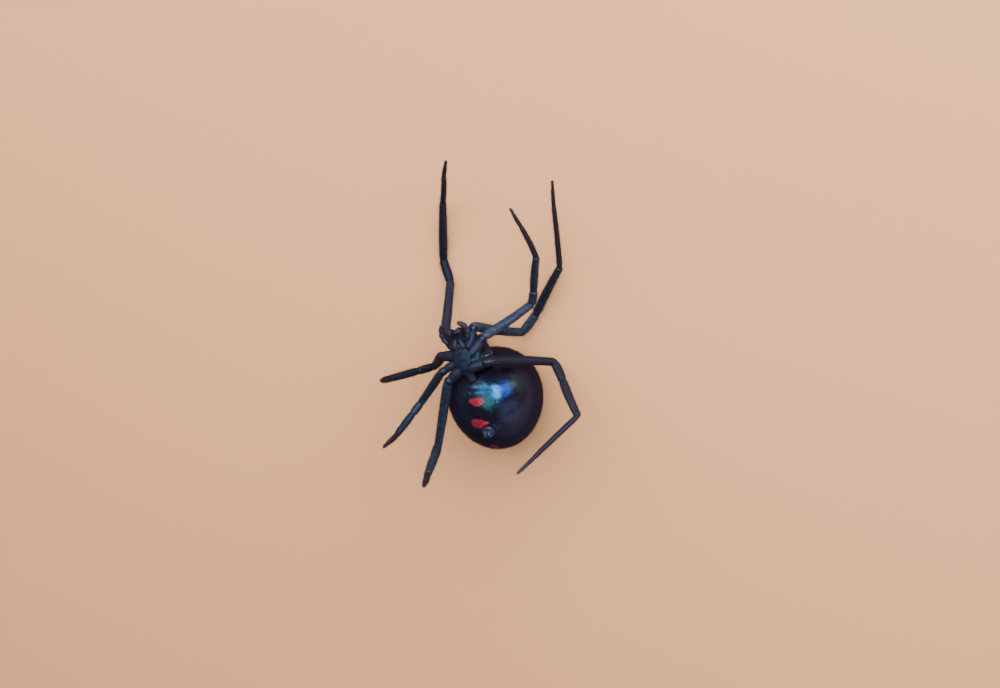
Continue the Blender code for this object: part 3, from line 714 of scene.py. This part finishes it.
def makeMouthparts(material):
    for side, word in ((1, "left"), (-1, "right")):
        top, aim, fangTip = inBody(trunk["jaw"], side)
        along = unit(aim - top)
        path = [top + s * along for s in (-0.12, 0.1, 0.4, 0.7, 0.86)]
        jaw = taperedTube(path, trunk["jawRadii"], trunkAxes[0], 28, 30, ripe=0.15)
        root = top + 0.77 * along
        bend = (root + fangTip) / 2 + 0.07 * along
        fang = taperedTube([root, bend, fangTip], trunk["fangRadii"], trunkAxes[1], 16, 18, False, ripe=1.0)
        makePiece("chelicera_" + word + "_skin", [jaw, fang], material, ["chelicera_" + word])


# Palps

palps = {
    "joints": ((0.97, 1.6, 0.08), (1.2, 2.0, 0.13), (1.22, 2.44, 0.2)),
    "left": ((1.04, 2.86, 0.34), (0.76, 3.1, 0.6)), "right": ((1.05, 2.85, 0.34), (0.8, 3.1, 0.58)),
    "radii": (0.23, 0.24, 0.24, 0.24), "hairs": (60, 0.22, 0.006, 0.8), "seed": 40,
}
palpShapes = [
    dict(root=0.9, tip=0.95, swell=0.08, lean=1.0, flare=0.04, bow=0.02),
    dict(root=0.88, tip=0.95, swell=0.08, lean=1.0, flare=0.04, bow=0.02),
    dict(root=0.85, tip=1.0, swell=0.06, lean=1.0, flare=0.05, bow=0.0),
    dict(root=0.95, tip=0.62, swell=0.14, lean=0.8, flare=0.0, bow=-0.02),
]


def makePalps(material):
    for seed, side, word in ((0, 1, "left"), (1, -1, "right")):
        joints = inBody(palps["joints"] + palps[word], side)
        outside = unit(joints[2] - joints[0]) - unit(joints[4] - joints[2])
        rng = np.random.default_rng(palps["seed"] + seed)
        shells, hairs = [], []
        for i, (radius, shape) in enumerate(zip(palps["radii"], palpShapes)):
            ripe = (0.2 + 0.15 * i, 0.35 + 0.15 * i)
            bar = barOf(joints[i], joints[i + 1], outside, radius, shape, ripe)
            shells.append(barShell(bar, 22, i < 3))
            band = (0.02 + 0.24 * i, 0.24 + 0.24 * i)
            hairs.append(barHairs(bar, rng, *palps["hairs"], band))
        makePiece("palpSkin_" + word, shells, material, ["palp_" + word])
        makePiece("palpHairs_" + word, hairs, hairMaterial)


# Legs

segments = ("femur", "patella", "tibia", "metatarsus", "tarsus")
legs = {
    "lengths": {
        1: (6.5, 2.0, 5.6, 6.6, 2.4), 2: (5.2, 1.5, 3.4, 4.0, 1.9),
        3: (3.6, 1.2, 2.2, 2.9, 1.5), 4: (6.1, 1.8, 3.8, 5.2, 2.0),
    },
    "radii": {
        1: (0.39, 0.38, 0.36, 0.28, 0.25), 2: (0.38, 0.36, 0.34, 0.28, 0.25),
        3: (0.35, 0.34, 0.32, 0.27, 0.25), 4: (0.39, 0.39, 0.37, 0.28, 0.25),
    },
    "pose": {  # heading and climb of the coxa and of each segment
        "left_1": ((74, -30), (-61, -62), (44, -6), (50, 9), (74, 21), (77, 10)),
        "left_2": ((50, -35), (23, -52), (62, 17), (69, 11), (84, 35), (104, 12)),
        "left_3": ((-2, -50), (165, -54), (-148, -60), (-148, -64), (-112, -4), (-100, -1)),
        "left_4": ((12, -11), (-26, -46), (-56, 31), (-55, 35), (-144, 48), (-144, 48)),
        "right_1": ((144, -30), (115, -60), (101, -9), (73, 10), (48, 46), (55, 32)),
        "right_2": ((185, -20), (-144, -47), (176, 52), (164, 63), (35, 61), (35, 61)),
        "right_3": ((206, 9), (-135, -2), (-134, 24), (-133, 29), (27, 77), (27, 77)),
        "right_4": ((218, 9), (-113, -4), (-54, 72), (-10, 74), (25, 63), (25, 63)),
    },
    "ripe": {
        "femur": (0.0, 0.05), "patella": (0.1, 0.1), "tibia": (0.05, 0.2),
        "metatarsus": (0.45, 0.75), "tarsus": (0.75, 1.0),
    },
    "hairDensity": {"femur": 50, "patella": 54, "tibia": 64, "metatarsus": 70, "tarsus": 85},
    "hairLength": {"femur": 0.2, "patella": 0.2, "tibia": 0.24, "metatarsus": 0.22, "tarsus": 0.17},
    # Painted sheen for each segment, femur to tarsus: how far the base colour is lightened to blue-grey,
    # standing in for reflected sky
    "bloom": {
        "left_1": (0.65, 0.8, 0.25, 0.1, 0.0), "left_2": (0.7, 0.45, 0.25, 0.1, 0.0),
        "left_4": (0.0, 0.1, 0.15, 0.0, 0.0), "right_1": (0.25, 0.0, 0.1, 0.0, 0.0),
        "right_4": (0.35, 0.2, 0.35, 0.1, 0.0), "others": (0.15, 0.1, 0.1, 0.0, 0.0),
    },
    "dull": {
        "right_1": (0.0, 1.0, 0.0, 0.0, 0.0), "right_3": (0.0, 0.2, 0.9, 0.2, 0.0), "others": (0.0,) * 5,
    },
    "hairWidth": 0.008, "hairLift": 0.75, "seed": 100, "clawSize": 0.16,
    "combHairs": (0.2, 0.013, 0.7),  # length, width and lift
    "black": (0.005, 0.004, 0.007), "brown": (0.020, 0.008, 0.010), "jointBrown": (0.016, 0.007, 0.006),
    # The blue-grey of the painted sheen, a painted reflection of the sky
    "paintedSheenGrey": (0.036, 0.058, 0.105),
    "roughness": 0.36, "specular": 0.26, "tint": (0.80, 0.85, 1.0), "coat": 0.07, "coatRoughness": 0.2,
}
coxae = {
    "roots": {1: (0.66, 1.06), 2: (0.9, 0.4), 3: (0.85, -0.22), 4: (0.55, -0.82)},
    "depths": {1: 0.6, 2: 0.5, 3: 0.45, 4: 0.4},
    "lengths": {1: 1.65, 2: 1.62, 3: 1.55, 4: 1.6},
    "radii": {1: 0.43, 2: 0.4, 3: 0.32, 4: 0.38},
    "trochanter": 0.48,
}


def coxaEnds(name):
    number = int(name[-1])
    side = 1 if name.startswith("left") else -1
    root = inBody((*coxae["roots"][number], -coxae["depths"][number]), side)
    along = direction(*legs["pose"][name][0])
    outer = root + (coxae["lengths"][number] - coxae["trochanter"]) * along
    return root, outer, outer + coxae["trochanter"] * along


def coxaShell(name):
    # A stout cone that swells from its root and ends in a rim.
    root, outer = coxaEnds(name)[:2]
    path = [root + s * (outer - root) for s in (-0.3, 0.0, 0.35, 0.7, 0.93, 0.99)]
    radii = coxae["radii"][int(name[-1])] * np.array([0.75, 1.0, 1.14, 1.1, 1.04, 0.9])
    return taperedTube(path, radii, across(trunkAxes[2], unit(outer - root)), 28, 30, ripe=0.12)


def legBars(name):
    number = int(name[-1])
    root, outer, hip = coxaEnds(name)
    heads = [direction(*pose) for pose in legs["pose"][name][1:]]
    joints = [hip]
    for length, head in zip(legs["lengths"][number], heads):
        joints.append(joints[-1] + length * head)
    outside = heads[0] - heads[2]
    bars = [barOf(outer, hip, outside, legs["radii"][number][0] * 0.9, segmentShapes["trochanter"])]
    # Each segment's share of painted sheen, a lighter blue-grey base colour standing in for reflected sky,
    # and of duller finish
    bloom, dull = (legs[kind].get(name, legs[kind]["others"]) for kind in ("bloom", "dull"))
    for i, segment in enumerate(segments):
        radius = legs["radii"][number][i]
        shape, ripe = segmentShapes[segment], legs["ripe"][segment]
        bars.append(barOf(joints[i], joints[i + 1], outside, radius, shape, ripe, bloom[i], dull[i]))
    return bars


def legMaterial():
    # Black, warming to brown towards the foot and in the joints, with patchy blue-grey painted sheen,
    # a painted reflection of the sky that is strongest on the two front legs of the left side, and with a few
    # segments that are duller.
    material, tree, shader, surface = cuticle("legCuticle", legs, 0.005 * mm, 16000.0, 3400.0)
    colour = ripeColour(tree, surface, legs, -0.25)
    colour = blend(tree, maskValue(tree, "joint"), colour, (*legs["jointBrown"], 1))
    # Painted sheen: patches of lighter blue-grey base colour in place of reflected sky, scaled by each
    # segment's mask
    patches = remap(tree, surface.outputs["Tone"], 0.34, 0.66, 0.3, 1.0)
    bloom = calculate(tree, "MULTIPLY", maskValue(tree, "bloom"), patches)
    rough = shader.inputs["Roughness"].links[0].from_socket
    feed(tree, shader, {
        "Base Color": blend(tree, bloom, colour, (*legs["paintedSheenGrey"], 1)),
        "Roughness": calculate(tree, "MULTIPLY_ADD", maskValue(tree, "dull"), 0.5, rough, clamp=True),
    })
    return material


def makeLeg(name, material, seed):
    bars = legBars(name)
    shells = [barShell(bar, blunt=i < 5) for i, bar in enumerate(bars)] + claws(bars[-1], legs["clawSize"])
    nodes = ["leg_" + name + "_" + segment for segment in segments]
    makePiece("legSkin_" + name, shells, material, nodes)
    rng = np.random.default_rng(legs["seed"] + seed)
    hairs = []
    for i, (segment, bar) in enumerate(zip(segments, bars[1:])):
        density, length = legs["hairDensity"][segment], legs["hairLength"][segment]
        band = (0.02 + 0.19 * i, 0.2 + 0.19 * i)
        hairs.append(barHairs(bar, rng, density, length, legs["hairWidth"], legs["hairLift"], band))
    if name.endswith("4"):
        hairs.append(footComb(bars[-1]))
    makePiece("legHairs_" + name, hairs, hairMaterial)


def footComb(bar):
    # A row of stout curved bristles under the last foot.
    s = np.linspace(0.12, 0.94, 11)
    roots = barCentre(bar, s) - barRadius(bar, s)[:, None] * bar["up"]
    spread = np.stack([0 * s + 0.5, 0.8 + 0.15 * s], axis=-1)
    return hairShell(roots, -bar["up"], bar["axis"], *legs["combHairs"], spread)


# Spinnerets

spinnerets = {
    "lean": 0.34, "knobsApart": 0.5,
    "collar": (0.58, 0.56, 0.22), "tailKnob": (0.2, 0.15, 0.2), "frontKnob": (0.12, 0.08, 0.16),
    # Hairs: how dense, how long, how wide and how far they lift
    "lowerHairs": (60, 0.13, 0.005, 0.7), "upperHairs": (90, 0.1, 0.004, 0.6), "seed": 90,
    "outer": {"reach": 0.31, "height": 0.46, "radius": 0.23},
    "middle": {"reach": 0.2, "height": 0.36, "radius": 0.15},
    # The blue-grey cast of these two colours is partly painted highlight, a little lighter and bluer than the
    # rest of the black cuticle
    "black": (0.010, 0.009, 0.015), "brown": (0.022, 0.019, 0.030),
    "roughness": 0.33, "specular": 0.36, "tint": (0.7, 0.75, 1.0), "coat": 0.05, "coatRoughness": 0.2,
}


def makeSpinnerets():
    # Six two-jointed cones on a low collar, two of them small and close in, and a knob at either end.
    mound = abdomen["spinneretMound"]
    t = math.acos(mound["y"] / (abdomen["length"] / 2))
    turn = math.acos(mound["x"] / eggPoint(t, 0.0)[0])
    out = eggNormal(t, turn)
    foot = eggPoint(t, turn) + 0.1 * out
    side = across(np.array([1.0, 0, 0]), out)
    ahead = np.cross(out, side)
    axes = np.array([side, ahead, out])
    shells = [ellipsoid(foot + 0.1 * out, axes, spinnerets["collar"], 40, 14, ripe=0.2)]
    hairs = []
    rng = np.random.default_rng(spinnerets["seed"])
    for i in range(6):
        angle = 2 * math.pi * (i + 0.5) / 6
        cone = spinnerets["middle" if i in (1, 4) else "outer"]
        lean = math.cos(angle) * side + math.sin(angle) * ahead
        root = foot + 0.2 * out + cone["reach"] * lean
        rise, wide = cone["height"] * unit(out - spinnerets["lean"] * lean), cone["radius"]
        lower = barOf(root, root + 0.62 * rise, lean, wide, palpShapes[0], (0.25, 0.4))
        upper = barOf(root + 0.6 * rise, root + rise, lean, 0.78 * wide, palpShapes[3], (0.5, 0.8))
        shells += [barShell(lower, 18), barShell(upper, 18, False)]
        low = 0.02 + 0.15 * i
        hairs.append(barHairs(lower, rng, *spinnerets["lowerHairs"], (low, low + 0.07)))
        hairs.append(barHairs(upper, rng, *spinnerets["upperHairs"], (low + 0.08, low + 0.14)))
    apart = spinnerets["knobsApart"] * ahead
    shells.append(ellipsoid(foot + 0.15 * out - apart, axes, spinnerets["tailKnob"], 24, ripe=0.4))
    shells.append(ellipsoid(foot + 0.2 * out + apart, axes, spinnerets["frontKnob"], ripe=0.4))
    makePiece("spinneretSkins", shells, spinneretMaterial, ["spinnerets"])
    makePiece("spinneretHairs", hairs, hairMaterial)


# Finishes, and the spider put together

hairFinish = {
    "black": (0.004, 0.003, 0.004), "roughness": 0.6, "specular": 0.2, "coat": 0.0, "coatRoughness": 0.3,
}
lensFinish = {
    "black": (0.010, 0.006, 0.005), "roughness": 0.12, "specular": 0.5, "coat": 1.0, "coatRoughness": 0.03,
}
hairMaterial = cuticle("hair", hairFinish, 0.006 * mm, 12000.0, 900.0)[0]
eyeMaterial = cuticle("eyeLens", lensFinish, 0.0005 * mm, 12000.0, 900.0)[0]
trunkFinish = bodyMaterial("trunkCuticle", trunk)
legFinish = legMaterial()
spinneretMaterial = bodyMaterial("spinneretCuticle", spinnerets)

makeAbdomen()
makeSpinnerets()
print("abdomen and spinnerets made")
makeTrunk(trunkFinish)
makeMouthparts(trunkFinish)
makePalps(trunkFinish)
print("trunk, jaws and palps made")
for seed, name in enumerate(legs["pose"]):
    makeLeg(name, legFinish, seed)
print("legs made")


# Floor, light and camera

stage = {
    "floorSize": 900.0, "floorBelow": 0.02, "floor": (0.88, 0.45, 0.19), "floorRoughness": 0.9,
    "sky": (0.90, 0.92, 1.0), "skyStrength": 0.15,
    "lights": {  # direction, size, power and colour
        "keyLight": ((0.1, 0.5, 1.0), (338, 338), 1.8, (1.0, 0.93, 0.86)),
        "skyCore": ((0.10, 0.12, 1.0), (90, 152), 1.5, (0.17, 0.57, 1.0)),
        "skyLeft": ((-0.60, 0.25, 1.0), (186, 101), 0.7, (0.18, 0.56, 0.95)),
        "skyRight": ((0.54, 0.26, 1.0), (107, 107), 0.6, (0.12, 0.13, 1.0)),
        "leafRight": ((0.95, 0.55, 1.0), (147, 62), 0.14, (0.67, 1.0, 0.45)),
        "skyLow": ((-0.34, -0.30, 1.0), (135, 124), 0.32, (0.30, 0.87, 0.72)),
        "slateLow": ((0.62, -0.60, 0.5), (271, 226), 0.28, (1.0, 0.55, 0.95)),
        "sideFill": ((-1.4, 0.7, 1.0), (214, 214), 0.3, (1.0, 0.80, 1.0)),
    },
}
camera = {  # angles in degrees
    "tilt": 27.0, "lift": 16.0, "roll": 12.0, "lens": 100.0, "target": (0.0, 0.0, 3.95),
    "sideways": 0.34, "up": 4.59, "distance": 236.1,
}


def cameraAxes():
    # Back along the view, then the picture's right and up, rolled about the view.
    tilt, lift, roll = (math.radians(camera[key]) for key in ("tilt", "lift", "roll"))
    back = np.array([math.sin(tilt) * math.cos(lift), math.sin(lift), math.cos(tilt) * math.cos(lift)])
    level = across(np.array([0.0, 1.0, 0.0]), back)
    right = np.cross(level, back)
    c, s = math.cos(roll), math.sin(roll)
    return np.array([c * right - s * level, c * level + s * right, back])


viewAxes = cameraAxes()
pictureRight, pictureUp, back = viewAxes
target = np.array(camera["target"])


def aimed(name, data, place, towards):
    # An object whose own -Z points from its place to the target and whose Y follows the picture's up.
    z = unit(place - towards)
    y = across(pictureUp, z)
    made = newObject(name, data)
    rows = np.stack([np.cross(y, z), y, z, place * mm], axis=1)
    made.matrix_world = Matrix([*rows.tolist(), [0, 0, 0, 1]])
    return made


def softLight(name, towards, size, power, colour):
    # Placed from the abdomen's middle by its share of the picture's right, its up and the way to the viewer.
    # All but the key light show in reflections, and only it and the side fill light the matt colours.
    data = bpy.data.lights.new(name, "AREA")
    data.shape = "ELLIPSE"
    data.size, data.size_y = size[0] * mm, size[1] * mm
    data.energy = power
    data.color = colour
    place = target + camera["distance"] * unit(np.array(towards) @ viewAxes)
    light = aimed(name, data, place, target)
    light.visible_camera = False
    light.visible_glossy = name != "keyLight"
    light.visible_diffuse = name in ("keyLight", "sideFill")


def makeStage():
    half = stage["floorSize"] / 2
    s = np.linspace(-half, half, 3)
    x, y = np.meshgrid(s, s, indexing="ij")
    points = np.stack([x, y, 0 * x - stage["floorBelow"]], axis=-1).reshape(-1, 3) * mm
    quads = [(i, i + 3, i + 4, i + 1) for i in (0, 1, 3, 4)]
    mesh = bpy.data.meshes.new("floor")
    mesh.from_pydata(points.tolist(), [], quads)
    paint, tree, shader = newMaterial("floorPaint")
    feed(tree, shader, {"Base Color": (*stage["floor"], 1), "Roughness": stage["floorRoughness"]})
    mesh.materials.append(paint)
    newObject("floor", mesh)
    world = bpy.data.worlds.new("studio")
    world.use_nodes = True
    glow = {"Color": (*stage["sky"], 1), "Strength": stage["skyStrength"]}
    feed(world.node_tree, world.node_tree.nodes["Background"], glow)
    bpy.context.scene.world = world
    for name, settings in stage["lights"].items():
        softLight(name, *settings)


def makeCamera():
    data = bpy.data.cameras.new("camera")
    data.lens = camera["lens"]
    data.sensor_width = 36
    data.clip_start, data.clip_end = 0.005, 5
    place = target + camera["sideways"] * pictureRight + camera["up"] * pictureUp + camera["distance"] * back
    bpy.context.scene.camera = aimed("camera", data, place, place - back)


makeStage()
makeCamera()
print("stage, light and camera set")
